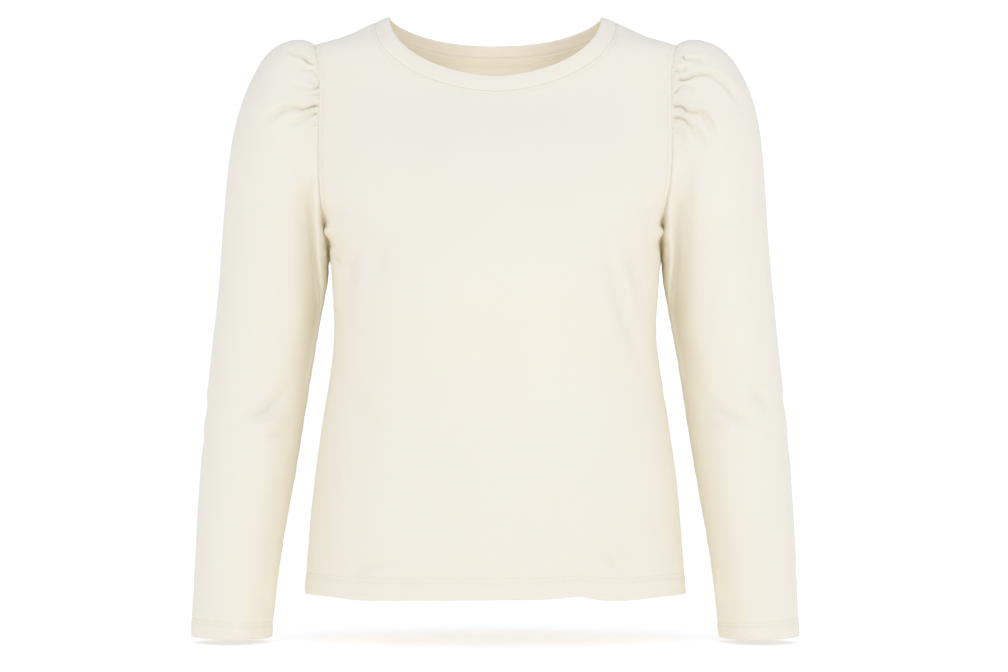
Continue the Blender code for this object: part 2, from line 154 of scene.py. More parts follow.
SEEDS = {"front": 1.0, "back": 5.0, "sleeve_l": 2.0, "sleeve_r": 7.0, "band": 3.0}

# Folds in the cloth. Each is drawn on one side of the garment: (x, height) seen from the front or back,
# (y, height) seen from the left or right, in millimetres. It fades at both ends, or only at its far end
# where it starts at a seam: there it is sharp and narrow, as a gather is. A negative depth is a ridge.
Fold = namedtuple("Fold", "view path width depth fades")
FADE_IN, FADE_OUT = 0.35, 0.45      # the shares of its length
VIEWS = {"front": (0, (0, -1, 0)), "back": (0, (0, 1, 0)), "left": (1, (1, 0, 0)), "right": (1, (-1, 0, 0))}


def folds(view, fades, rows):
    """Folds on one side. Each row is a width and a depth, and then the points of the path."""
    return [Fold(view, path, width, depth, fades) for width, depth, *path in rows]


FRONT_FOLDS = folds("front", "end", (
    (9, 2.0, (-172, -202), (-162, -209), (-151, -214)),
    (9, 2.6, (169, -200), (160, -206), (149, -211)),
    (7, 2.6, (-166, -248), (-152, -262), (-140, -282)),
))
FRONT_FOLDS += folds("front", "both", (
    (7, 4.0, (-146, -236), (-147, -254), (-151, -274), (-152, -300)),
    (9, 2.4, (-117, -232), (-116, -252), (-117, -274)),
    (8, 5.0, (102, -228), (112, -248), (121, -277), (130, -305), (139, -330), (151, -376)),
    (7, -2.4, (121, -238), (129, -268), (138, -300), (148, -335)),
    (6, 3.0, (137, -246), (143, -266), (147, -286)),
    (14, 3.6, (-160, -366), (-148, -384), (-140, -402), (-112, -436)),
    (18, 2.2, (160, -420), (140, -452), (110, -486)),
    (11, 2.2, (62, -474), (58, -510), (57, -548)),
    (8, 1.6, (-48, -512), (-36, -517), (-22, -514)),
    (5, 2.6, (-156, -566), (-132, -561), (-108, -553), (-84, -548)),
    (5, -1.6, (-138, -574), (-124, -566), (-106, -560)),
    (5, 2.8, (100, -532), (110, -544), (122, -557), (138, -572)),
    (5, -1.8, (112, -534), (124, -546), (136, -560)),
    (6, 1.7, (-44, -578), (-32, -560), (-22, -548)),
    (6, 1.7, (54, -570), (70, -558), (84, -553)),
))
BACK_FOLDS = folds("back", "both", (
    (9, 1.7, (150, -238), (136, -262), (128, -296), (120, -338)),
    (9, 1.0, (-118, -246), (-104, -286), (-98, -322)),
    (14, 2.0, (-150, -345), (-96, -362), (-40, -366), (10, -358)),
    (14, 1.7, (150, -372), (100, -390), (50, -392)),
    (12, 1.2, (60, -330), (20, -342), (-20, -340)),
    (11, 0.9, (-60, -556), (-84, -520), (-120, -490)),
    (8, 0.8, (70, -568), (98, -548), (130, -536)),
))
BACK_FOLDS += folds("back", "end", (
    (8, 1.5, (-152, -240), (-142, -262), (-132, -286)),
))
RIGHT_SLEEVE_FOLDS = folds("front", "end", (
    (3.2, 4.4, (-187, -51), (-191.5, -48), (-195, -44), (-200, -41.5), (-206, -39), (-212, -35.5),
     (-218, -33)),
    (2.6, 2.2, (-187, -58), (-190.5, -57.5), (-195, -56), (-200, -53.5)),
    (2.2, 1.8, (-181, -65), (-182.5, -62), (-186.5, -60)),
    (2.4, 2.2, (-180, -72.5), (-182.5, -71.5), (-187, -69.5), (-192, -68)),
    (3.0, 2.2, (-180, -75.5), (-186.5, -77.5), (-194, -76), (-201, -74), (-210, -74)),
    (2.0, 1.4, (-180, -83), (-186.5, -83.5), (-197, -83.5)),
    (4.4, 4.8, (-181, -94), (-187.5, -96), (-194, -98), (-201, -97), (-209, -96), (-217, -99), (-228, -105),
     (-238, -113)),
    (4.0, 3.0, (-181, -102.5), (-186.5, -104.5), (-194, -108.5), (-202, -112.5), (-212, -118)),
    (2.6, 1.2, (-181, -115), (-188, -117), (-196, -122)),
))
RIGHT_SLEEVE_FOLDS += folds("back", "end", (
    (3.6, 3.0, (-187, -40), (-198, -42), (-212, -48)),
    (2.8, 2.4, (-184, -52), (-192, -54), (-203, -61)),
    (4.0, 3.8, (-182, -63), (-190, -67), (-200, -70), (-215, -69), (-226, -74)),
    (2.6, 2.2, (-181, -76), (-187, -79), (-194, -86)),
    (4.0, 3.6, (-181, -88), (-190, -91), (-200, -99), (-211, -110)),
    (3.4, 2.4, (-181, -103), (-189, -107), (-198, -117)),
    (3.4, 1.8, (-181, -121), (-190, -128), (-198, -140)),
))
RIGHT_SLEEVE_FOLDS += folds("front", "both", (
    (7, 6.0, (-208, -370), (-212, -380), (-216, -388), (-221, -395), (-227, -401), (-234, -405.5),
     (-243, -408.5), (-252, -410), (-262, -412), (-274, -414)),
    (6, -2.2, (-212, -399), (-222, -408), (-234, -414), (-248, -418)),
    (6, 3.2, (-206, -422), (-220, -428), (-239, -433)),
    (6, 1.4, (-221, -345), (-238, -351)),
    (5, 1.8, (-229, -582), (-238, -592), (-248, -605)),
    (9, 0.7, (-240, -500), (-262, -512), (-282, -517)),
    (9, 2.0, (-211, -110), (-214, -128), (-208, -150), (-200, -176)),
))
RIGHT_SLEEVE_FOLDS += folds("right", "both", (
    (9, 1.5, (-40, -392), (-10, -404), (22, -400)),
    (9, 1.1, (-34, -430), (4, -440), (30, -430)),
    (6, 0.8, (-46, -575), (-26, -590), (-8, -596)),
))
RIGHT_SLEEVE_FOLDS += folds("back", "both", (
    (8, 2.2, (-214, -372), (-232, -386), (-254, -392), (-276, -388)),
    (8, 1.5, (-216, -412), (-238, -420), (-264, -416)),
    (8, 2.4, (-190, -180), (-194, -230), (-190, -280)),
    (7, 0.8, (-242, -566), (-262, -580), (-284, -584)),
))
LEFT_SLEEVE_FOLDS = folds("front", "end", (
    (2.8, 3.0, (191, -43.5), (193.5, -46), (198, -46), (203, -46), (208.5, -47), (216, -49)),
    (2.6, 2.6, (182, -58.5), (187, -58.5), (190, -57.5), (196, -53)),
    (4.4, 4.6, (187, -67.5), (192, -67.5), (197, -65.5), (203, -63), (210.5, -61.5), (216.5, -61.5),
     (222.5, -63.5), (227.5, -66.5), (233, -71), (239, -77), (244, -84), (249, -93), (252, -103)),
    (3.2, 2.8, (182, -81), (185, -77.5), (189, -74.5), (194, -75), (200, -76.5), (206, -79)),
    (4.2, 5.0, (181, -95), (187.5, -95), (191, -97.5), (195, -100.5), (201, -100.5), (206.5, -100.5),
     (210.5, -103.5), (214.5, -108.5), (219, -116), (223, -124), (227, -134)),
    (2.0, 1.4, (189, -91), (192, -93.5), (195, -96.5)),
    (4.2, 4.4, (181, -107), (188, -107.5), (192, -110), (196, -114.5), (200, -119), (204.5, -124),
     (209, -131), (213, -141)),
    (2.2, 1.6, (181, -111.5), (187, -113.5), (191, -117)),
    (2.6, 1.2, (181, -122), (187, -125), (194, -132)),
))
LEFT_SLEEVE_FOLDS += folds("back", "end", (
    (3.6, 3.0, (188, -41), (200, -41), (214, -46)),
    (2.8, 2.2, (184, -53), (193, -56), (200, -57)),
    (4.0, 3.8, (182, -62), (190, -64), (202, -71), (216, -82)),
    (2.8, 2.2, (181, -74), (190, -79), (196, -81)),
    (4.2, 3.8, (181, -86), (190, -90), (203, -93), (217, -101)),
    (3.6, 2.8, (181, -99), (190, -106), (199, -119)),
    (3.4, 1.8, (181, -116), (189, -123), (195, -133)),
))
LEFT_SLEEVE_FOLDS += folds("front", "both", (
    (6.5, 5.0, (204, -398), (213, -401), (222, -403.5), (231, -406), (240, -409), (249, -411),
     (258, -412.5), (270, -412)),
    (6.5, 3.8, (256, -382), (270, -391), (285, -401)),
    (6, 1.6, (238, -362), (252, -368)),
    (7, 3.0, (206, -415), (217, -420), (229, -426), (241, -434)),
    (5, 2.0, (231, -590), (238, -600), (245, -612)),
    (9, 0.7, (236, -480), (262, -492), (284, -494)),
    (9, 2.2, (204, -116), (214, -136), (219, -158), (216, -186)),
))
LEFT_SLEEVE_FOLDS += folds("left", "both", (
    (9, 1.6, (-42, -384), (-12, -396), (20, -394)),
    (9, 1.0, (-30, -436), (6, -442), (28, -434)),
    (6, 0.8, (-44, -560), (-22, -572), (-2, -574)),
))
LEFT_SLEEVE_FOLDS += folds("back", "both", (
    (8, 2.2, (212, -378), (234, -392), (258, -396), (278, -390)),
    (8, 1.4, (214, -420), (240, -426), (266, -420)),
    (8, 2.2, (190, -176), (193, -228), (188, -284)),
    (7, 0.8, (240, -572), (262, -582), (288, -580)),
))

# The cloth beside the armpits, in millimetres. At each drop: how far out the sleeve's edge is, how far the
# roll beside it stands out, how far out and how deep the groove beyond is and how far it spreads away from
# the body, how far the seam is filled out and over what reach, how deep and how wide its crease is, how far
# the panel beside it stands out, and how far the body is drawn in and the sleeve in towards it.
ARMPIT = table(
    "drop edge roll groove_at groove spread fill reach crease half panel body_in sleeve_in",
    (60, 179.8, 0, 189, 0, 10.4, 0, 9, 0, 1.2, 0, 0, 0),
    (90, 179.5, 0, 189, 0, 10.4, 1.5, 9, 0.1, 1.2, 0, 0, 0),
    (130, 179.2, 0, 189, 1.5, 10.4, 2.5, 9, 0.2, 1.2, 0, 0, 0),
    (150, 178.9, 0.8, 189, 4, 10.4, 3, 9, 0.3, 1.2, 0, 0, 0),
    (170, 178.3, 1.2, 189, 9, 10.4, 2.8, 9, 0.3, 1.2, 0, 0, 0),
    (190, 177.2, 1.6, 188.8, 13, 10.4, 2.4, 8, 0.6, 1.2, 0, 0, 0),
    (197, 176.5, 2, 188.8, 14, 10.4, 2.4, 7, 1.5, 1.4, -1, 0, 0),
    (204, 175.7, 2.8, 188.8, 14, 10.4, 2.7, 6.5, 3.5, 1.8, -2, 0, 0),
    (211, 174.8, 3.8, 188.6, 14, 10.4, 3.2, 5, 8, 2.6, -4, 0, 0),
    (216, 174.3, 4.7, 188.4, 14, 10.4, 3.8, 4.3, 9, 2.6, -4, 0, 0),
    (221, 173.7, 5.3, 188.2, 14.5, 10.4, 4.5, 4, 7, 1.5, 8, 0, 0),
    (226, 173.2, 6.2, 188, 15, 10.4, 5, 4, 7, 1.5, 9, 0, 0),
    (231, 172.7, 8, 187.8, 15, 10.4, 4.3, 3.6, 10, 2.4, -3, 0, 0),
    (236, 172.2, 8.5, 187.7, 15, 10.4, 4, 3.5, 10, 2.6, -4, 0, 0),
    (243, 171.6, 9.5, 187.5, 16, 10.4, 4, 3.5, 10, 2, 8, 0.2, 1),
    (254, 171, 9.5, 187, 17, 10.4, 3, 3, 2, 2, 13, 0.4, 2.5),
    (262, 171, 8, 186.1, 18, 10.4, 0, 3, 0, 2, 14, 0.8, 3.4),
    (270, 171.6, 5.2, 185.3, 20, 10.4, 0, 3, 0, 2, 14, 1.2, 2.5),
    (280, 173.2, 2.6, 184.2, 21.5, 10.4, 0, 3, 0, 2, 14, 1.7, 0.6),
    (292, 175.5, 0.5, 183.3, 22, 10.4, 0, 3, 0, 2, 13, 2.1, -0.8),
    (302, 177, 0, 183.4, 22, 10.4, 0, 3, 0, 2, 12, 2.1, -1.2),
    (312, 179, 0, 184.5, 22, 10.4, 0, 3, 0, 2, 12, 1.9, -1.6),
    (330, 182.5, 0, 187, 20, 10.4, 0, 3, 0, 2, 11, 0.9, -1.4),
    (350, 187, 0, 191, 17, 11, 0, 3, 0, 2, 11, 0.2, -1.2),
    (370, 190.5, 0, 194.5, 14, 12, 0, 3, 0, 2, 11, 0, -0.8),
    (400, 193, 0, 197, 11, 13, 0, 3, 0, 2, 11, 0, -0.8),
    (440, 198.5, 0, 203, 9.5, 14, 0, 3, 0, 2, 11, 0, -1.4),
    (520, 212, 0, 216, 9, 15, 0, 3, 0, 2, 10, 0, -2),
    (592, 222, 0, 226, 9, 16, 0, 3, 0, 2, 8, 0, -1),
)
ARMPIT = ARMPIT._make(values / 1000 for values in ARMPIT)
ROLL_AT, ROLL_WIDTH = 0.0034, 0.0088
GROOVE_NEAR = 0.0056        # how far the groove spreads towards the body
PANEL_REACH = 0.0055
LIP_AT, LIP_HALF, LIP_OUT = 0.2228, 0.0048, 0.0035  # a lip of the panel that hangs over the seam
SEAM_CLEAR, PANEL_CLEAR = 0.0036, 0.0015    # how near the seam the sleeve and the panel start to move
SIDE_FADE = 0.014           # all this dies out so near the plane of the side seams
DRAWN = (0.115, 0.160)      # from where out the body is drawn in, and from where fully
SLEEVE_DRAWN = 0.008        # how far into the sleeve its edge is drawn
LEFT_ARMPIT_IN = 0.0045     # how much nearer the middle the garment's left armpit is
LEFT_ARMPIT = ((0.172, 0.024), (-0.205, 0.030))     # where, across and up, and how wide
LEFT_GROOVE = 0.92          # how deep the left sleeve's groove is, beside the right's
LEFT_PANEL = 0.75           # and how far the panel stands out beside it
LEFT_PANEL_FROM, LEFT_PANEL_TO = -0.256, -0.236
BACK_ARMPIT = 0.6           # the hidden back's rolls and grooves, as a share of the front's

# How far the front's hem is raised at places across it, in millimetres, and how far up that reaches
HEM_RISE = table(
    "x rise",
    (-196, 0), (-165, 0), (-145, -1.4), (-115, -1.3), (-80, -0.4), (-30, 0.2), (10, 0.5), (44, 0.7),
    (62, 1.6), (76, 2.9), (86, 2.9), (100, 0.2), (114, -1.4), (140, -1.5), (165, 0), (196, 0),
)
HEM_RISE_REACH = 0.034

# Colours, as linear values
CREAM = (0.880, 0.828, 0.672)
CREAM_SHADE = (0.855, 0.796, 0.632)
THREAD = (0.860, 0.800, 0.645)
TAPE_CREAM = (0.875, 0.812, 0.653)
PALE_FLOOR = (0.53, 0.53, 0.53)
FLOOR_DROP, FLOOR_GLOW = 0.641, 0.60

# How bright the studio is from its front wall (0) round to its back wall (1)
SKY = ((0.0, 0.50), (0.10, 0.57), (0.22, 0.66), (0.45, 0.585), (0.60, 0.48), (0.975, 0.48), (0.985, 1.05))
SKY_RISE = 0.52             # how much brighter it is overhead
LIGHT = (1.0, 1.04, 1.22)
LIGHT_BOUNCES = 16          # light that goes to and fro between folds of pale cloth
SOFTBOXES = {"left": 9.0, "right": 11.6}    # watts
CAMERA_AT = (0.0088, -3.2, -0.3286)
CAMERA_SENSOR, VIEW_WIDTH = 36.0, 1.0382    # the width of the view in the garment's plane


# ---------------------------------------------------------------- the plain form
def spline(knots, values, at):
    """The natural cubic curve through the values at the knots."""
    last = len(knots) - 1
    step = np.diff(knots)
    system, right = np.eye(last + 1), np.zeros(last + 1)
    for i in range(1, last):
        system[i, i - 1:i + 2] = step[i - 1], 2 * (step[i - 1] + step[i]), step[i]
        right[i] = 6 * ((values[i + 1] - values[i]) / step[i] - (values[i] - values[i - 1]) / step[i - 1])
    bend = np.linalg.solve(system, right)
    i = np.clip(np.searchsorted(knots, at) - 1, 0, last - 1)
    past = at - knots[i]
    slope = (values[i + 1] - values[i]) / step[i] - step[i] * (2 * bend[i] + bend[i + 1]) / 6
    return values[i] + past * (slope + past * (bend[i] / 2 + past * (bend[i + 1] - bend[i]) / (6 * step[i])))


def column(rows, name, at):
    return spline(rows.drop, getattr(rows, name), at)


def unit(vectors):
    return vectors / np.linalg.norm(vectors, axis=-1, keepdims=True)


def smooth(low, high, at):
    share = np.clip((at - low) / (high - low), 0.0, 1.0)
    return share * share * (3.0 - 2.0 * share)


def bell(at, width, power=2):
    return np.exp(-(at / width) ** power)


def run(points):
    """How far along a line each of its points is."""
    return np.concatenate(([0.0], np.cumsum(np.linalg.norm(np.diff(points, axis=0), axis=-1))))


def between(at, along, values):
    """Each column of the values at places along the line where they are known."""
    return np.stack([np.interp(at, along, known) for known in values.T], axis=-1)


def body(turn, drop, side):
    """Points of the body form. turn is 0 at the middle of the side and a right angle at its seams."""
    power = 2.0 / column(BODY_DEPTH, "squareness", drop)
    width = column(BODY_OUTLINE, "half_width", drop)
    depth = column(BODY_DEPTH, side, drop)
    x = width * np.sign(np.sin(turn)) * np.abs(np.sin(turn)) ** power
    y = AWAY[side] * depth * np.sign(np.cos(turn)) * np.abs(np.cos(turn)) ** power
    return np.stack([x, y, -drop], axis=-1)


def body_normal(turn, drop, side):
    """Outward directions on the body form. At a seam they lie in the seams' plane."""
    across = body(turn + STEP, drop, side) - body(turn - STEP, drop, side)
    down = body(turn, drop + STEP / 10, side) - body(turn, drop - STEP / 10, side)
    at_seam = np.abs(np.cos(turn)) < 1e-6
    across[at_seam] = np.array([0.0, -AWAY[side], 0.0]) * np.sign(turn[at_seam])[:, None]
    down[at_seam, 1] = 0.0
    return unit(np.cross(across, down)) * AWAY[side]


def turn_at(x, drop):
    share = np.clip(np.abs(x) / column(BODY_OUTLINE, "half_width", drop), 0.0, 1.0)
    return np.sign(x) * np.arcsin(share ** (column(BODY_DEPTH, "squareness", drop) / 2.0))


def placed(turn, drop, side, shares):
    """Turns and drops at shares of the length of a curve on the body form."""
    along = run(body(turn, drop, side))
    return np.interp(shares * along[-1], along, turn), np.interp(shares * along[-1], along, drop)


def neck_curve(inset, side, shares):
    """Turns and drops along the neck opening, from one shoulder to the other."""
    seam, edge = np.array(BAND_SEAM), np.array(BAND_EDGE)
    neck = Neck(*(seam + (edge - seam) * inset))
    low = neck.front_drop if side == "front" else neck.back_drop
    spread, flatness = NECK_CURVE[side]
    share = np.linspace(-1.0, 1.0, CURVE_POINTS)
    x = neck.half_width * np.sign(share) * np.cos((1.0 - np.abs(share)) ** 2 * RIGHT_ANGLE)
    inside = np.clip(1.0 - np.abs(x / neck.half_width) ** spread, 0.0, 1.0)
    drop = neck.side + (low - neck.side) * inside ** (1.0 / flatness)
    return placed(turn_at(x, drop), drop, side, shares)


def armhole_curve(side, shares, inset=0.0):
    """Turns and drops up the armhole seam, from the underarm to the shoulder tip."""
    share = np.linspace(0.0, math.pi, CURVE_POINTS)
    drop = SHOULDER_TIP + (UNDERARM - SHOULDER_TIP) * (1.0 + np.cos(share)) / 2
    turn = turn_at(column(ARMHOLE, "half_width", drop) - inset, drop)
    if inset == 0.0:
        turn[0] = turn[-1] = RIGHT_ANGLE
    return placed(turn, drop, side, shares)


def crowded(count, power):
    """Shares from 0 to 1 that crowd together at the end."""
    return 1.0 - (1.0 - np.linspace(0.0, 1.0, count)) ** power


def panel_grid(side):
    """Turns and drops of a whole panel, rows from the hem up to the neckline and shoulder seams."""
    neck_turn, neck_drop = neck_curve(0.0, side, np.linspace(0.5, 1.0, NECK_COLUMNS))
    shoulder = crowded(SHOULDER_COLUMNS, SHOULDER_CROWDING)
    tip = np.linspace(neck_drop[-1], SHOULDER_TIP, CURVE_POINTS)
    seam_turn, seam_drop = placed(np.full(CURVE_POINTS, RIGHT_ANGLE), tip, side, shoulder)
    top_turn, top_drop = np.append(neck_turn, seam_turn[1:]), np.append(neck_drop, seam_drop[1:])
    top_x = body(top_turn, top_drop, side)[:, 0]
    across = np.append(np.linspace(0.0, NECK_SHARE, NECK_COLUMNS),
                       NECK_SHARE + (1.0 - NECK_SHARE) * shoulder[1:])
    up = np.concatenate([edge_rows(HEM_LINES), np.linspace(SIDE_START, HEM - UNDERARM, SIDE_ROWS)[:-1]])
    side_drop = HEM - up[:, None]
    spread = np.sin(across * RIGHT_ANGLE) ** (2.0 / column(BODY_DEPTH, "squareness", side_drop))
    low_x = column(BODY_OUTLINE, "half_width", side_drop) * spread
    low_drop = np.repeat(side_drop, len(across), axis=1)
    climb = crowded(CLIMB_ROWS, CLIMB_CROWDING)
    arm_turn, arm_drop = armhole_curve(side, climb)
    arm_x = body(arm_turn, arm_drop, side)[:, 0]
    climb = climb[:, None]
    share = spread[-1] + (top_x / top_x[-1] - spread[-1]) * climb
    arm_climb = ((UNDERARM - arm_drop) / (UNDERARM - SHOULDER_TIP))[:, None]
    likeness = np.clip(across / NECK_SHARE, 0.0, 1.0) ** 2
    high_drop = UNDERARM + (top_drop - UNDERARM) * (climb + (arm_climb - climb) * likeness)
    x, drop = np.concatenate([low_x, share * arm_x[:, None]]), np.concatenate([low_drop, high_drop])
    turn = turn_at(x, drop)
    turn[:len(up) + 1, -1] = turn[-1, NECK_COLUMNS - 1:] = RIGHT_ANGLE
    return np.hstack([-turn[:, :0:-1], turn]), np.hstack([drop[:, :0:-1], drop])


def edge_rows(lines):
    """Distances above a turned-up edge: close together at the edge and at the stitching."""
    rows = [0.0, 0.0002, 0.0006, 0.0012, 0.0020, 0.0035, 0.0060, 0.0090, 0.0120]
    for line in lines:
        rows += [line - 0.0013, line - 0.0006, line, line + 0.0006, line + 0.0013]
    return np.array(sorted(rows + [lines[1] + 0.0026, lines[1] + 0.0045]))


def armhole_edge():
    """The armhole on each side: drops, with places, directions outward and directions into the panel."""
    edges = {}
    for side in AWAY:
        turn, drop = armhole_curve(side, np.linspace(1.0, 0.0, 241))
        places, outward = body(turn, drop, side), body_normal(turn, drop, side)
        inward = unit(np.cross(outward, np.gradient(places, axis=0)))
        inward *= -np.sign(inward[:, :1])
        edges[side] = drop, np.concatenate([places, outward, inward], axis=-1)
    return edges


def at_armhole(angle, edges):
    """Places, directions outward and directions into the panel, at angles round the +X armhole."""
    seam_drop = SHOULDER_TIP + (UNDERARM - SHOULDER_TIP) * (1.0 - np.cos(angle)) / 2
    front, back = (between(seam_drop, *edges[side]) for side in AWAY)
    found = np.where((np.sin(angle) > 0)[..., None], front, back)
    return found[..., :3], unit(found[..., 3:6]), unit(found[..., 6:])


def section_lengths():
    middles = (SLEEVE.outer + SLEEVE.inner) / 2, (SLEEVE.outer_drop + SLEEVE.inner_drop) / 2, SLEEVE.lean
    return run(np.stack(middles, axis=-1))


def sleeve_section(angle, along, fullness):
    lengths = section_lengths()
    row = SLEEVE._make(spline(lengths, values, along) for values in SLEEVE)
    outer = row.outer + fullness * bell(along - FULLEST, FULLNESS_REACH)
    reach = np.where(np.sin(angle) > 0, row.front, row.back)
    x = (outer + row.inner) / 2 + (outer - row.inner) / 2 * np.cos(angle)
    drop = (row.outer_drop + row.inner_drop) / 2 + (row.outer_drop - row.inner_drop) / 2 * np.cos(angle)
    return np.stack([x, row.lean - reach * np.sin(angle), -drop], axis=-1)


def sleeve_point(angle, along, edges, fullness):
    merge = smooth(0.0, HEAD_MERGE, along)[..., None]
    start = sleeve_section(angle, np.zeros_like(along), fullness)
    return sleeve_section(angle, along, fullness) + (at_armhole(angle, edges)[0] - start) * (1.0 - merge)


# ---------------------------------------------------------------- relief
def rippled(at, pitch, seed):
    """An uneven wave of about this pitch, between -1 and 1."""
    at = at * 2 * math.pi / pitch
    return (0.45 * np.sin(at + seed) + 0.30 * np.sin(0.618 * at + 2.1 * seed)
            + 0.25 * np.sin(1.47 * at + 0.7 * seed))


def swell(across, height, pitch, seed):
    """Low uneven ground, between about -1 and 1."""
    lean = 0.35 * across
    return 0.5 * (rippled(across + 0.4 * height, pitch, seed) * rippled(height - lean, pitch * 1.3, seed + 2)
                  + rippled(height + lean, pitch * 1.7, seed + 4))


def puckered(ripple, away, along, seed, power=1):
    """Small ripples along a seam, which die out away from it."""
    return ripple.height * rippled(along, ripple.pitch, seed) * bell(away, ripple.reach, power)


def nearest(points, line):
    """Distances from points to a line through points, and how far along it the nearest place is."""
    shape, flat = points.shape[:-1], points.reshape(-1, points.shape[-1])
    steps = np.diff(line, axis=0)
    lengths, starts = np.linalg.norm(steps, axis=-1), run(line)
    best, along = np.full(len(flat), np.inf), np.zeros(len(flat))
    squares = (flat ** 2).sum(-1)[:, None] - 2 * flat @ line.T + (line ** 2).sum(-1)
    close = np.argmin(squares, axis=1)
    for offset in (-1, 0):
        i = np.clip(close + offset, 0, len(steps) - 1)
        past = np.clip(((flat - line[i]) * steps[i]).sum(-1) / lengths[i] ** 2, 0.0, 1.0)
        away = np.linalg.norm(flat - line[i] - steps[i] * past[:, None], axis=-1)
        nearer = away < best
        best[nearer] = away[nearer]
        along[nearer] = (starts[i] + past * lengths[i])[nearer]
    return best.reshape(shape), along.reshape(shape)


def through(path, count=40):
    """A smooth line through a few points."""
    path = np.array(path, float)
    knots = run(path)
    at = np.linspace(0.0, knots[-1], count)
    if len(path) < 3:
        return between(at, knots, path)
    return np.stack([spline(knots, values, at) for values in path.T], axis=-1)


def pleat(away, softness):
    """The section of a fold: a trough, or a sharp crease, with the cloth pushed up on both sides of it."""
    sharp = 1.4 * np.exp(-1.25 * np.abs(away) ** 1.3) * (1.0 - softness)
    return sharp + 1.25 * bell(away, 1.0) * softness - 0.38 * bell(away, 2.1)


def at_armpit(point, piece):
    """Points of a panel, a sleeve or a seam allowance moved to the cloth's lie beside the armpits."""
    x, y, z = (point[..., axis] for axis in range(3))
    row = ARMPIT._make(np.interp(-z, ARMPIT.drop, values) for values in ARMPIT)
    out = np.abs(x) - row.edge
    seam = column(ARMHOLE, "half_width", np.clip(-z, SHOULDER_TIP, UNDERARM))
    if piece == "panel":
        seam = np.where(-z > UNDERARM, column(BODY_OUTLINE, "half_width", np.maximum(-z, 0.0)), seam)
    away = np.maximum(np.abs(x) - seam if piece == "sleeve" else seam - np.abs(x), 0.0)
    share = np.where(y < 0, 1.0, BACK_ARMPIT) * smooth(0.0, SIDE_FADE, np.abs(y))
    stand = row.fill * bell(away, row.reach, 1) - row.crease * bell(away, row.half)
    if piece == "sleeve":
        clear = smooth(0.0, SEAM_CLEAR, away)
        beyond = np.abs(x) - row.groove_at
        groove = row.groove * bell(beyond, np.where(beyond < 0, GROOVE_NEAR, row.spread))
        groove = groove * np.where(x > 0, LEFT_GROOVE, 1.0)
        stand = stand + clear * (row.roll * bell(out - ROLL_AT, ROLL_WIDTH, 4) - groove)
        draw = row.sleeve_in * clear * bell(out, SLEEVE_DRAWN)
    else:
        beside = bell(away, PANEL_REACH, 1) * smooth(0.0, PANEL_CLEAR, away)
        lessened = (1.0 - LEFT_PANEL) * smooth(LEFT_PANEL_FROM, LEFT_PANEL_TO, z) * (x > 0)
        stand = stand + row.panel * (1.0 - lessened) * beside
        draw = row.body_in * smooth(*DRAWN, np.abs(x)) - LIP_OUT * bell(z + LIP_AT, LIP_HALF) * beside
    (left, wide), (height, tall) = LEFT_ARMPIT
    draw = draw + LEFT_ARMPIT_IN * bell(x - left, wide) * bell(z - height, tall)
    return np.stack([x - np.sign(x) * draw, y + np.sign(y) * share * stand, z], axis=-1)


def folds_sink(point, normal, rows):
    """How far the folds sink the cloth at points of its plain form."""
    sink = np.zeros(point.shape[:-1])
    for fold in rows:
        axis, facing = VIEWS[fold.view]
        line = through(fold.path) / 1000
        away, along = nearest(point[..., (axis, 2)], line)
        share = along / run(line)[-1]
        strength = smooth(0.0, FADE_OUT, 1.0 - share)
        width, softness = fold.width / 1000, 1.0
        if fold.fades == "both":
            strength = strength * smooth(0.0, FADE_IN, share)
        else:
            width, softness = width * (0.42 + 0.95 * share), smooth(0.0, 0.6, share)
        seen = smooth(0.05, 0.40, normal @ np.array(facing, float))
        sink += fold.depth / 1000 * strength * seen * pleat(away / width, softness)
    return sink


def seam_dip(away):
    """Cloth turning down into a seam."""
    inside = np.clip(1.0 - away / (2.2 * EDGE_ROUND), 0.0, 1.0)
    return EDGE_ROUND * (1.0 - np.sqrt(1.0 - inside ** 2))


def stitched(away, line):
    """The groove that a line of stitches pulls into the cloth at a distance from an edge."""
    return GROOVE * bell(away - line, GROOVE_WIDTH)


def hem_sink(up, around, lines, seed):
    """A turned-up hem: grooves at its stitching, fuller cloth below, and a slight pucker."""
    below = 1.0 - smooth(lines[0] - 0.001, lines[1], up)
    sink = sum(stitched(up, line) for line in lines) - HEM_FULLNESS * smooth(0.0, 0.004, up) * below
    sink = sink - puckered(HEM_PUCKER, up - lines[0], around, seed, 2)
    return sink - puckered(HEM_WAVE, up, around, seed + 1, 2)


def turned_edge(up, wall):
    """How far both skins draw in at a folded edge, to round it."""
    inside = np.clip(1.0 - up / (wall / 2), 0.0, 1.0)
    return wall / 2 * (1.0 - np.sqrt(1.0 - inside ** 2))


def hem_skins(outer, normal, up, lines):
    """The outside and the inside of a wall that is thicker where its edge is turned up."""
    hem = 1.0 - smooth(lines[1] + 0.0004, lines[1] + 0.0016, up)
    rounding = turned_edge(up, KNIT_WALL + HEM_WALL)
    inner = outer - (KNIT_WALL + HEM_WALL * hem - rounding)[..., None] * normal
    return outer - rounding[..., None] * normal, inner


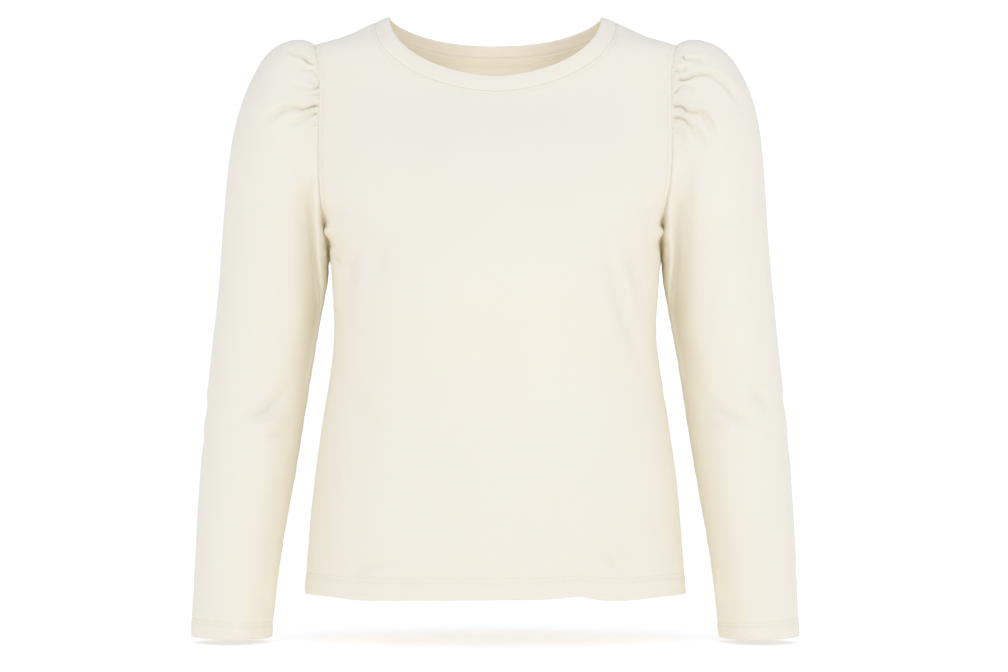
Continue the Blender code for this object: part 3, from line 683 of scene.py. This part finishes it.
def panel_surface(side, turn, drop):
    """A panel's outside and its directions outward, for any turns and drops."""
    point, normal = body(turn, drop, side), body_normal(turn, drop, side)
    seed = SEEDS[side]
    shares = np.linspace(0.0, 1.0, 181)
    mirrored = point.copy()
    mirrored[..., 0] = np.abs(mirrored[..., 0])
    hand = np.where(point[..., 0] > 0, 0.0, 3.0)
    straight = np.full(181, RIGHT_ANGLE)
    up = HEM - drop
    sink = hem_sink(up, point[..., 0] + turn * 0.06, HEM_LINES, seed)
    away = {}
    for name, line, shift, dip in (
            ("neck", neck_curve(0.0, side, shares), 0.0, 1.0),
            ("arm", armhole_curve(side, shares), hand, ARM_DIP),
            ("flank", (straight, UNDERARM + (HEM - UNDERARM) * shares), hand, 0.8),
            ("shoulder", (straight, NECK_SIDE + (SHOULDER_TIP - NECK_SIDE) * shares), hand, 0.8)):
        away[name], along = nearest(point if name == "neck" else mirrored, body(*line, side))
        sink += dip * seam_dip(away[name])
        sink -= puckered(PANEL_RIPPLES[name], away[name], along + shift, seed)
    sink += 0.7 * stitched(away["neck"], NECK_LINE) + 0.5 * stitched(away["arm"], ARM_LINE)
    calm = (1.0 - bell(away["neck"], 0.050)) * (1.0 - 0.6 * bell(away["arm"], 0.030))
    sink -= UNEVENNESS * calm * swell(point[..., 0], point[..., 2], PANEL_PITCH, seed)
    sink += folds_sink(point, normal, FRONT_FOLDS if side == "front" else BACK_FOLDS)
    surface = at_armpit(point, "panel") - sink[..., None] * normal
    if side == "front":
        places = HEM_RISE.x / 1000
        rise = spline(places, HEM_RISE.rise / 1000, np.clip(point[..., 0], places[0], places[-1]))
        surface[..., 2] += rise * bell(up, HEM_RISE_REACH)
    return surface, normal


def ring_normal(points):
    """Outward directions on a grid of points whose rows are closed rings, one below another."""
    around = np.roll(points, -1, axis=1) - np.roll(points, 1, axis=1)
    normal = unit(np.cross(around, np.gradient(points, axis=0)))
    outward = points - points.mean(axis=1, keepdims=True)
    return normal * np.sign((normal * outward).sum(-1).mean())


def sleeve_surface(name, angle, along):
    """A sleeve's outside and its directions outward, on its own side of the garment."""
    seed, edges, fullness = SEEDS[name], armhole_edge(), HEAD_FULLNESS[name]
    point = sleeve_point(angle, along, edges, fullness)
    around = (sleeve_point(angle + STEP, along, edges, fullness)
              - sleeve_point(angle - STEP, along, edges, fullness))
    before = np.maximum(along - STEP, 0.0)
    down = sleeve_point(angle, along + STEP, edges, fullness) - sleeve_point(angle, before, edges, fullness)
    normal = unit(np.cross(around, down))
    seams = np.concatenate([edges["front"][1][:, :3], edges["back"][1][::-1, :3]])
    arm, along_arm = nearest(point, seams)
    point, normal = point * HANDS[name], normal * HANDS[name]
    sink = hem_sink(section_lengths()[-1] - along, angle * 0.040, CUFF_LINES, seed)
    sink += ARM_DIP * seam_dip(arm)
    headed = smooth(-0.55, 0.15, np.cos(angle))
    sink -= headed * puckered(HEAD_RIPPLE, arm, along_arm, seed) * smooth(0.0, 0.003, arm)
    sink -= headed * puckered(HEAD_TICK, arm, along_arm, seed + 3, 2)
    sink -= (1.0 - headed) * puckered(UNDER_RIPPLE, arm, along_arm, seed)
    under = np.abs(np.abs(angle) - math.pi) * 0.045
    sink += 0.6 * seam_dip(under)
    sink -= puckered(SLEEVE_RIPPLE, under, along, seed)
    sink -= UNEVENNESS * smooth(0.03, 0.12, along) * swell(angle * 0.06, along, SLEEVE_PITCH, seed)
    sink += folds_sink(point, normal, RIGHT_SLEEVE_FOLDS if name == "sleeve_r" else LEFT_SLEEVE_FOLDS)
    shaped = at_armpit(point, "sleeve")
    facing = ring_normal(shaped) if point.ndim == 3 else normal
    return shaped - sink[..., None] * normal, facing


# ---------------------------------------------------------------- building
def lengths_along(points, axis):
    steps = np.linalg.norm(np.diff(points, axis=axis), axis=-1)
    return np.concatenate([np.zeros_like(steps.take([0], axis)), np.cumsum(steps, axis=axis)], axis=axis)


def cloth_uv(points, ring):
    """Metres across the knit and up it, for each point and the one that closes a ring."""
    if ring:
        points = np.concatenate([points, points[:, :1]], axis=1)
    across = lengths_along(points, 1)
    across -= across[:, across.shape[1] // 2, None]
    return np.stack([across, lengths_along(points, 0)], axis=-1)


def add_cloth(name, outer, inner, material, ring=False):
    """A closed thin wall between two grids of points. A ring's rows close on themselves.

    The inner grid has as many rows as the outer, and as many columns or a fraction of them.
    """
    rows, columns = outer.shape[:2]
    inner_columns, total = inner.shape[1], outer.shape[0] * outer.shape[1]
    wrap = columns if ring else columns - 1
    part = columns // inner_columns if ring else (columns - 1) // (inner_columns - 1)
    uv = cloth_uv(outer, ring)
    faces, spots = [], []
    for start, width, step in ((0, columns, 1), (total, inner_columns, part)):
        grids = np.meshgrid(np.arange(rows - 1), np.arange(wrap // step), indexing="ij")
        j, i = (grid.ravel() for grid in grids)
        k = (i + 1) % width
        at = np.stack([j * width + i, j * width + k, (j + 1) * width + k, (j + 1) * width + i], axis=-1)
        faces += (at + start).tolist()
        left, right = i * step, (i + 1) * step
        spots.append(np.stack([uv[j, left], uv[j, right], uv[j + 1, right], uv[j + 1, left]], axis=-2))
    for row in (0, rows - 1):
        below = total + row * inner_columns
        for i in range(wrap // part):
            fine = [i * part + n for n in range(part + 1)]
            k = (i + 1) % inner_columns
            faces.append([row * columns + n % columns for n in fine] + [below + k, below + i])
            spots.append(uv[row, fine + [fine[-1], fine[0]]])
    if not ring:
        for edge, under in ((0, 0), (columns - 1, inner_columns - 1)):
            for j in range(rows - 1):
                at = total + j * inner_columns + under
                faces.append([j * columns + edge, (j + 1) * columns + edge, at + inner_columns, at])
                spots.append(uv[[j, j + 1, j + 1, j], edge])
    mesh = bpy.data.meshes.new(name)
    mesh.from_pydata(np.concatenate([outer.reshape(-1, 3), inner.reshape(-1, 3)]).tolist(), [], faces)
    layer = mesh.uv_layers.new(name="UVMap")
    spots = np.concatenate([spot.reshape(-1, 2) for spot in spots])
    layer.data.foreach_set("uv", spots.astype(np.float32).ravel())
    return finish_mesh(name, mesh, material)


def finish_mesh(name, mesh, material, sharp=60):
    bm = bmesh.new()
    bm.from_mesh(mesh)
    bmesh.ops.recalc_face_normals(bm, faces=bm.faces)
    bm.to_mesh(mesh)
    bm.free()
    mesh.shade_smooth()
    mesh.set_sharp_from_angle(angle=math.radians(sharp))
    mesh.materials.append(material)
    piece = bpy.data.objects.new(name, mesh)
    bpy.context.scene.collection.objects.link(piece)
    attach(piece, "root")
    return piece


def add_panel(side, material):
    turn, drop = panel_grid(side)
    skins = hem_skins(*panel_surface(side, turn, drop), HEM - drop, HEM_LINES)
    return add_cloth(f"{side}_knit", *skins, material)


def add_sleeve(name, material):
    length = section_lengths()[-1]
    head = np.linspace(0.0, 1.0, HEAD_ROWS) ** HEAD_CROWDING * HEAD_LENGTH
    arm = np.linspace(HEAD_LENGTH, length - CUFF_LENGTH, ARM_ROWS)[1:]
    along = np.concatenate([head, arm, length - edge_rows(CUFF_LINES)[::-1]])
    even = np.linspace(0.0, math.pi, 721)
    crowding = 1.0 + GATHERED_CROWDING * bell(even - GATHERED_AT, GATHERED_SPREAD)
    crowding = np.concatenate(([0.0], np.cumsum((crowding[1:] + crowding[:-1]) / 2)))
    half = np.interp(np.linspace(0.0, crowding[-1], HALF_RING), crowding, even)
    angle = np.concatenate([-half[:0:-1], half[:-1]])
    along, angle = np.meshgrid(along, angle, indexing="ij")
    surface, normal = sleeve_surface(name, angle, along)
    outer, inner = hem_skins(surface, normal, length - along, CUFF_LINES)
    tucked, tucked_inner = tuck_rows(name, angle[0])
    outer, inner = np.concatenate([tucked, outer]), np.concatenate([tucked_inner, inner])
    return add_cloth(f"{name}_knit", outer, deepest(inner, normal, len(tucked)), material, ring=True)


def tuck_rows(name, angle):
    """Rows of the seam allowance, which turns in at the armhole and lies under the panel."""
    places, outward, inward = at_armhole(angle, armhole_edge())
    outer = np.stack([at_armpit((places + reach * inward - depth * outward) * HANDS[name], "allowance")
                      for reach, depth in TUCK])
    return outer, outer - TUCK_WALL * outward * HANDS[name]


def deepest(inner, normal, skip):
    """The columns kept of an inner skin, sunk to the deepest of the columns beside each."""
    depth = np.zeros(inner.shape[:2])
    depth[skip:] = -(inner[skip:] * normal).sum(-1)
    lowest = depth.copy()
    for shift in (-3, -2, -1, 1, 2, 3):
        beside = np.roll(inner, shift, axis=1)
        lowest[skip:] = np.maximum(lowest[skip:], -(beside[skip:] * normal).sum(-1) - 0.0004 * abs(shift))
    lowest = np.minimum(lowest, depth + DEEPEST_SINK)
    sunk = inner.copy()
    sunk[skip:] -= (lowest - depth)[skip:, :, None] * normal
    return sunk[:, ::INNER_SHARE]


def neck_ring(inset):
    """A closed loop round the neck opening and its directions outward."""
    shares = np.linspace(0.0, 1.0, RING_COLUMNS + 1)
    points, normals = [], []
    for side, part in (("front", slice(None, -1)), ("back", slice(None, 0, -1))):
        turn, drop = neck_curve(inset, side, shares)
        points.append(body(turn, drop, side)[part])
        normals.append(body_normal(turn, drop, side)[part])
    return np.concatenate(points), np.concatenate(normals)


def add_neckband(material):
    seam_side = np.array([0.0, 0.015, 0.04, 0.08, 0.13])
    free_edge = 1.0 - np.array([0.10, 0.065, 0.038, 0.018, 0.005, 0.0])
    around = run(neck_ring(0.0)[0])
    outer, inner = [], []
    for inset in np.concatenate([seam_side, np.linspace(0.20, 0.86, 9), free_edge]):
        from_edge, from_seam = (1.0 - inset) * BAND_WIDTH, inset * BAND_WIDTH
        rounding = turned_edge(from_edge, BAND_WALL)
        crown = BAND_CROWN * math.sin(math.pi * inset)
        pucker = puckered(BAND_PUCKER, from_seam, around, SEEDS["band"])
        outside = rounding + 0.8 * seam_dip(from_seam) - crown - pucker
        inside = BAND_WALL - rounding + 0.5 * crown
        points, normals = neck_ring(inset)
        outer.append(points - outside[:, None] * normals)
        inner.append(points - inside * normals)
    return add_cloth("neckband_knit", np.stack(outer), np.stack(inner), material, ring=True)


def tape_surface(across, depth, shares):
    """The tape lies on the inside of the band above the seam and of the panel below it."""
    inset = across * TAPE_HALF / BAND_WIDTH
    turn, drop = neck_curve(inset, "back", shares)
    depth = depth + (BAND_WALL - KNIT_WALL) * smooth(-0.10, 0.10, inset)
    if depth > TAPE_DEPTH + TAPE_WALL / 2:
        depth = depth - TAPE_GROOVE * bell(abs(across) - TAPE_LINES, TAPE_GROOVE_SHARE)
    normal = body_normal(turn, drop, "back")
    return body(turn, drop, "back") - depth * normal, -normal


def add_neck_tape(material):
    shares = np.linspace(0.025, 0.975, TAPE_COLUMNS)
    rows = np.linspace(-1.0, 1.0, TAPE_ROWS)
    skins = [np.stack([tape_surface(across, depth, shares)[0] for across in rows])
             for depth in (TAPE_DEPTH, TAPE_DEPTH + TAPE_WALL)]
    return add_cloth("neck_tape_cloth", *skins, material)


def add_stitches(name, lines, material, length=0.0023, pitch=0.0030, width=0.00034, height=0.00022,
                 lift=0.00008):
    """Threads laid end to end along lines of (points, directions outward)."""
    ring = np.radians(np.arange(0, 360, 60))
    shape = [(-0.5, 0.0, 0.0)]
    for at, size in ((-0.34, 0.85), (0.0, 1.0), (0.34, 0.85)):
        shape += [(at, size * math.cos(a), size * math.sin(a)) for a in ring]
    shape = np.array(shape + [(0.5, 0.0, 0.0)]) * (length, width, height)
    sides = [(0, 1 + (i + 1) % 6, 1 + i) for i in range(6)]
    sides += [(19, 13 + i, 13 + (i + 1) % 6) for i in range(6)]
    sides += [(1 + 6 * r + i, 1 + 6 * r + (i + 1) % 6, 7 + 6 * r + (i + 1) % 6, 7 + 6 * r + i)
              for r in range(2) for i in range(6)]
    vertices, faces, total = [], [], 0
    for points, normals in lines:
        along = run(points)
        at = np.arange(pitch / 2, along[-1], pitch)
        ahead, behind = (between(at + near, along, points) for near in (pitch / 4, -pitch / 4))
        out = unit(between(at, along, normals))
        forward = unit(ahead - behind)
        aside = unit(np.cross(out, forward))
        axes = np.stack([forward, aside, np.cross(forward, aside)], axis=1)
        centre = between(at, along, points) + lift * out
        vertices.append((centre[:, None] + np.einsum("vk,nkc->nvc", shape, axes)).reshape(-1, 3))
        for start in range(total, total + len(at) * len(shape), len(shape)):
            faces += [tuple(start + v for v in face) for face in sides]
        total += len(at) * len(shape)
    mesh = bpy.data.meshes.new(name)
    mesh.from_pydata(np.concatenate(vertices).tolist(), [], faces)
    return finish_mesh(name, mesh, material, sharp=180)


def hem_stitches(material):
    turn = np.linspace(-RIGHT_ANGLE + STEP, RIGHT_ANGLE - STEP, 500)
    lines = [panel_surface(side, turn, np.full(500, HEM - line)) for side in AWAY for line in HEM_LINES]
    return add_stitches("hem_stitches", lines, material)


def cuff_stitches(name, material):
    angle = np.linspace(-math.pi, math.pi, 300)
    length = section_lengths()[-1]
    lines = [sleeve_surface(name, angle, np.full(300, length - line)) for line in CUFF_LINES]
    return add_stitches(f"{name}_cuff_stitches", lines, material)


def neck_stitches(material):
    lines = []
    for side in AWAY:
        turn, drop = neck_curve(-NECK_LINE / BAND_WIDTH, side, np.linspace(0.0, 1.0, STITCHED_POINTS))
        lines.append(panel_surface(side, np.clip(turn, -RIGHT_ANGLE + STEP, RIGHT_ANGLE - STEP), drop))
    return add_stitches("neck_stitches", lines, material)


def armhole_stitches(material):
    lines = []
    for side in AWAY:
        turn, drop = armhole_curve(side, np.linspace(0.06, 0.97, STITCHED_POINTS), inset=ARM_LINE)
        lines += [panel_surface(side, turn * hand, drop) for hand in (1.0, -1.0)]
    return add_stitches("armhole_stitches", lines, material, height=0.00016)


def tape_stitches(material):
    shares = np.linspace(0.03, 0.97, STITCHED_POINTS)
    lines = [tape_surface(across, TAPE_DEPTH + TAPE_WALL, shares) for across in (-TAPE_LINES, TAPE_LINES)]
    return add_stitches("tape_stitches", lines, material)


# ---------------------------------------------------------------- materials
def fill(tree, node, values):
    """Set a node's sockets, by name or place, to values or to other nodes' outputs."""
    for name, value in values.items():
        if isinstance(value, bpy.types.NodeSocket):
            tree.links.new(value, node.inputs[name])
        else:
            node.inputs[name].default_value = value
    return node


def new_material(name):
    material = bpy.data.materials.new(name)
    material.use_nodes = True
    return material, material.node_tree, material.node_tree.nodes["Principled BSDF"]


def calculate(tree, operation, *values):
    """A math node; each value is a number or a socket."""
    node = tree.nodes.new("ShaderNodeMath")
    node.operation = operation
    return fill(tree, node, dict(enumerate(values))).outputs[0]


def noise(tree, scale, detail=2.0, roughness=0.55):
    place = tree.nodes.new("ShaderNodeTexCoord").outputs["Object"]
    values = {"Vector": place, "Scale": scale, "Detail": detail, "Roughness": roughness}
    return fill(tree, tree.nodes.new("ShaderNodeTexNoise"), values).outputs["Fac"]


def knit_height(tree, wale=0.0011, course=0.0009):
    """Rows of small V-shaped stitches."""
    uv = tree.nodes.new("ShaderNodeUVMap")
    uv.uv_map = "UVMap"
    split = fill(tree, tree.nodes.new("ShaderNodeSeparateXYZ"), {0: uv.outputs["UV"]}).outputs

    def math_node(operation, *values):
        return calculate(tree, operation, *values)

    across = math_node("FRACT", math_node("DIVIDE", split["X"], wale))
    leg = math_node("ABSOLUTE", math_node("SUBTRACT", across, 0.5))
    height = math_node("ADD", math_node("DIVIDE", split["Y"], course), math_node("MULTIPLY", leg, 1.3))
    thread = math_node("SINE", math_node("MULTIPLY", height, 2 * math.pi))
    rib = math_node("SINE", math_node("MULTIPLY", leg, 2 * math.pi))
    return math_node("ADD", math_node("MULTIPLY", thread, 0.35), rib)


def bump(tree, height, strength, distance, **before):
    values = {"Strength": strength, "Distance": distance, "Height": height, **before}
    return fill(tree, tree.nodes.new("ShaderNodeBump"), values).outputs["Normal"]


def mixed(tree, share, first, second):
    node = tree.nodes.new("ShaderNodeMix")
    node.data_type = "RGBA"
    return fill(tree, node, {"Factor": share, "A": (*first, 1.0), "B": (*second, 1.0)}).outputs["Result"]


def knit_material():
    material, tree, shader = new_material("cream knit")
    cloudy, flecks = (calculate(tree, "MULTIPLY", noise(tree, scale), 0.5) for scale in (14.0, 900.0))
    fuzz = bump(tree, noise(tree, 520.0, 4.0, 0.7), 0.20, 0.0004)
    uneven = bump(tree, noise(tree, 95.0), 0.14, 0.0020, Normal=fuzz)
    fill(tree, shader, {
        "Base Color": mixed(tree, calculate(tree, "ADD", cloudy, flecks), CREAM, CREAM_SHADE),
        "Normal": bump(tree, knit_height(tree), 0.22, 0.00025, Normal=uneven),
        "Roughness": 0.92, "Specular IOR Level": 0.18, "Sheen Weight": 0.12, "Sheen Roughness": 0.5})
    return material


def plain_cloth(name, colour, shade, weave):
    """Woven tape or twisted thread."""
    material, tree, shader = new_material(name)
    fill(tree, shader, {
        "Base Color": mixed(tree, noise(tree, 700.0), colour, shade),
        "Normal": bump(tree, noise(tree, weave), 0.4, 0.0003),
        "Roughness": 0.85, "Specular IOR Level": 0.25})
    return material


# ---------------------------------------------------------------- stage
def add_stage():
    bpy.ops.mesh.primitive_plane_add(size=30.0, location=(0.0, 0.0, -FLOOR_DROP))
    floor = bpy.context.object
    floor.name = "floor"
    material, tree, shader = new_material("pale floor")
    fill(tree, shader, {"Base Color": (*PALE_FLOOR, 1.0), "Roughness": 0.9,
                        "Emission Color": (1.0, 1.0, 1.0, 1.0), "Emission Strength": FLOOR_GLOW})
    floor.data.materials.append(material)


def add_light(name, place, aim, size, energy):
    data = bpy.data.lights.new(name, "AREA")
    data.shape, data.size, data.energy, data.color = "DISK", size, energy, LIGHT
    light = bpy.data.objects.new(name, data)
    bpy.context.scene.collection.objects.link(light)
    light.location = place
    direction = np.array(aim, float) - np.array(place, float)
    flat = math.hypot(direction[0], direction[1])
    light.rotation_euler = (math.atan2(flat, -direction[2]), 0.0, math.atan2(-direction[0], direction[1]))
    return light


def add_studio():
    scene, world = bpy.context.scene, bpy.data.worlds.new("studio")
    scene.world = world
    world.use_nodes = True
    tree = world.node_tree
    place = tree.nodes.new("ShaderNodeTexCoord").outputs["Generated"]
    split = fill(tree, tree.nodes.new("ShaderNodeSeparateXYZ"), {0: place}).outputs
    ramp = tree.nodes.new("ShaderNodeValToRGB")
    fill(tree, ramp, {"Fac": calculate(tree, "MULTIPLY_ADD", split["Y"], 0.5, 0.5)})
    for stop, (share, strength) in enumerate(SKY):
        mark = ramp.color_ramp.elements[stop] if stop < 2 else ramp.color_ramp.elements.new(share)
        mark.position, mark.color = share, (strength, strength, strength, 1.0)
    rise = calculate(tree, "MULTIPLY_ADD", split["Z"], SKY_RISE, 1.0)
    strength = calculate(tree, "MULTIPLY", ramp.outputs["Color"], rise)
    fill(tree, tree.nodes["Background"], {"Color": (*LIGHT, 1.0), "Strength": strength})
    for side, energy in SOFTBOXES.items():
        across = -2.0 if side == "left" else 2.0
        add_light(f"{side} softbox", (across, -2.0, 0.6), (0.0, 0.0, -0.3), 1.4, energy)
    glow = add_light("inside the neck", (0.0, -0.03, -0.17), (0.0, 0.05, -0.03), 0.05, 0.078)
    glow.visible_camera = False
    data = bpy.data.cameras.new("camera")
    data.sensor_width = CAMERA_SENSOR
    data.lens = CAMERA_SENSOR * -CAMERA_AT[1] / VIEW_WIDTH
    data.clip_start, data.clip_end = 0.05, 60.0
    camera = bpy.data.objects.new("camera", data)
    scene.collection.objects.link(camera)
    camera.location = CAMERA_AT
    camera.rotation_euler = (RIGHT_ANGLE, 0.0, 0.0)
    scene.camera = camera
    scene.view_settings.view_transform = "Standard"
    scene.cycles.max_bounces = scene.cycles.diffuse_bounces = LIGHT_BOUNCES


def main():
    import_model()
    add_stage()
    add_studio()
    knit = knit_material()
    thread = plain_cloth("thread", THREAD, CREAM_SHADE, 900.0)
    tape = plain_cloth("neck tape weave", TAPE_CREAM, CREAM_SHADE, 600.0)

    front, back = add_panel("front", knit), add_panel("back", knit)
    sleeves = {name: add_sleeve(name, knit) for name in ("sleeve_l", "sleeve_r")}
    band, neck_tape = add_neckband(knit), add_neck_tape(tape)
    hem, neck, armholes, taped = (hem_stitches(thread), neck_stitches(thread), armhole_stitches(thread),
                                  tape_stitches(thread))
    cuffs = {name: cuff_stitches(name, thread) for name in sleeves}

    for piece, node in ((front, "front"), (back, "back"), (band, "neckband"), (neck_tape, "neck_tape"),
                        (sleeves["sleeve_l"], "sleeve_l"), (sleeves["sleeve_r"], "sleeve_r")):
        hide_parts(node)


main()
